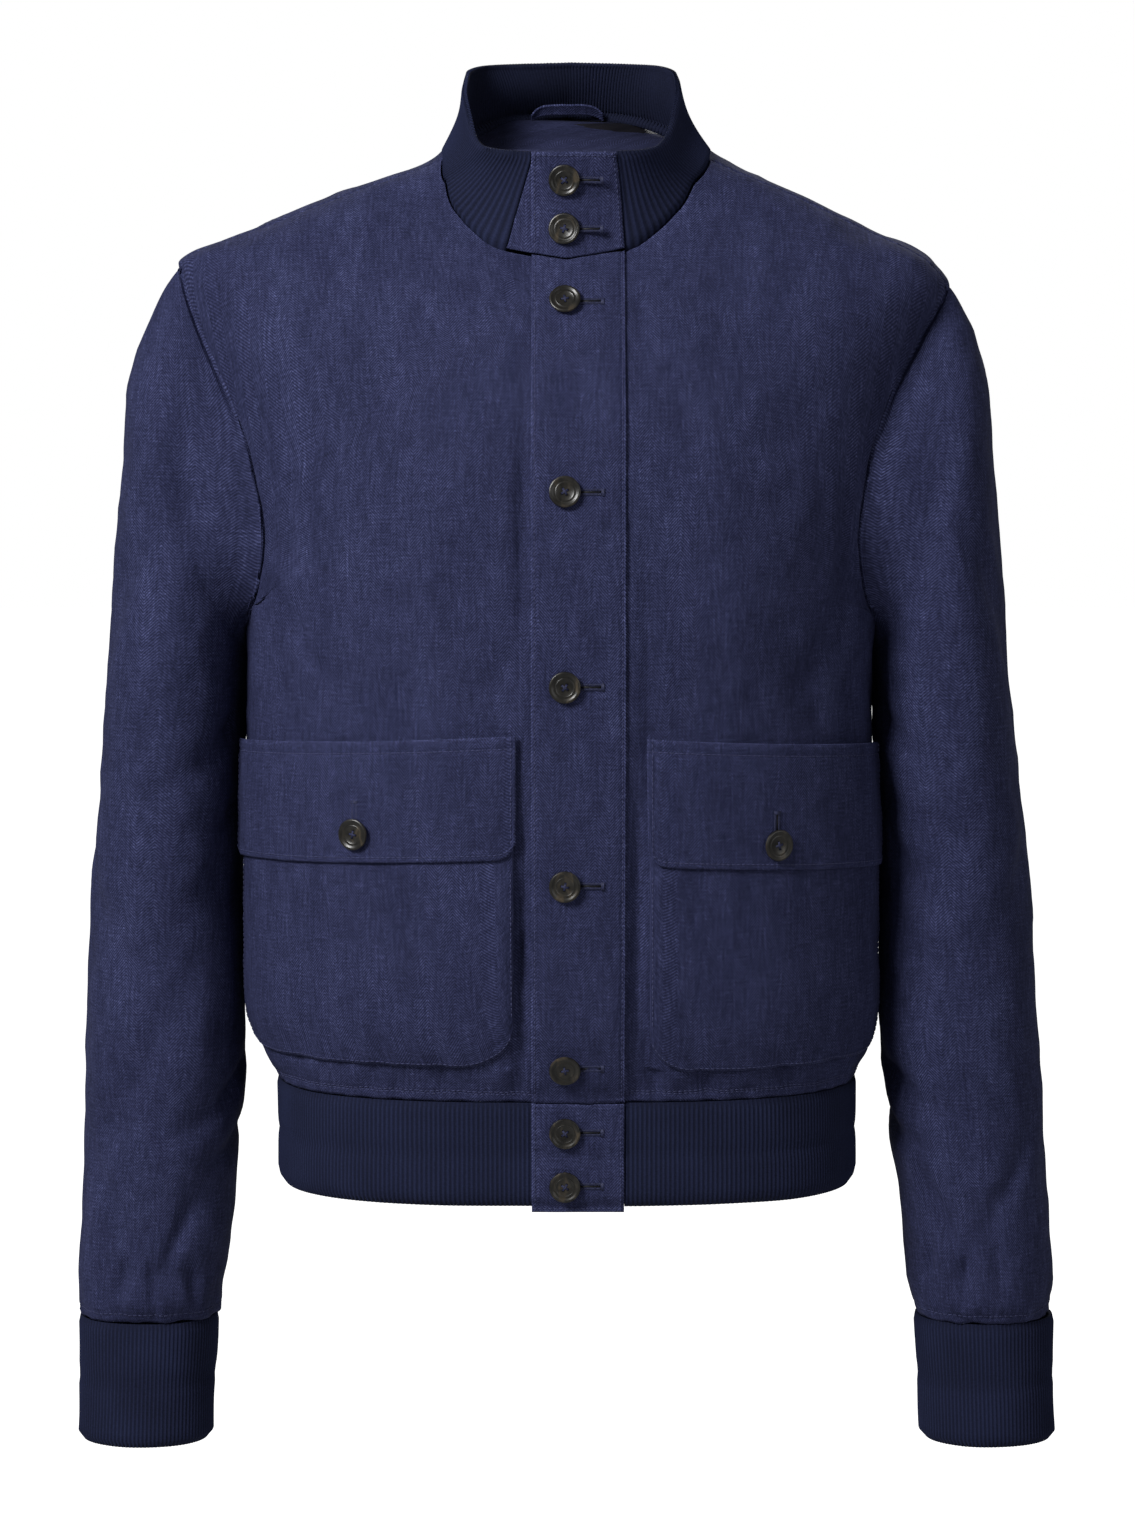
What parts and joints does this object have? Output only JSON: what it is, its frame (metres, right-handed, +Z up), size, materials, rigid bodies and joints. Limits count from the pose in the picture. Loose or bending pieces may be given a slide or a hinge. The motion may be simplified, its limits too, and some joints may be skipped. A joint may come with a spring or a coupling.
{
  "type": "linen jacket",
  "caption": "Men's navy herringbone linen blouson jacket with buttoned front, patch pockets with flaps, and rib-knit collar, cuffs and hem, filled out with no wearer.",
  "frame": {"origin": "midway between the points where the shoulder seams meet the collar, where the wearer's shoulders hold the jacket up", "axes": "+Z up, the front faces -Y, +X towards the wearer's left"},
  "size_m": [0.5848, 0.2798, 0.8197],
  "materials": {
    "linen": "matte herringbone weave",
    "rib_knit": "matte rib knit",
    "lining": "soft sheen",
    "horn": "satin"
  },
  "bodies": {
    "root": {"left_front": "linen", "right_front": "linen", "button_placket": "linen", "back": "linen", "left_sleeve": "linen", "right_sleeve": "linen", "collar_tab_upper": "linen", "collar_tab_under": "linen", "hem_tab_upper": "linen", "hem_tab_under": "linen", "left_pocket": "linen", "right_pocket": "linen", "left_pocket_flap": "linen", "right_pocket_flap": "linen", "hanger_loop": "linen", "rib_collar": "rib_knit", "rib_hem": "rib_knit", "left_cuff": "rib_knit", "right_cuff": "rib_knit", "button_1": "horn", "button_2": "horn", "button_3": "horn", "button_4": "horn", "button_5": "horn", "button_6": "horn", "button_7": "horn", "button_8": "horn", "button_9": "horn", "pocket_button_left": "horn", "pocket_button_right": "horn", "back_neck_lining": "lining"}
  },
  "joints": []
}
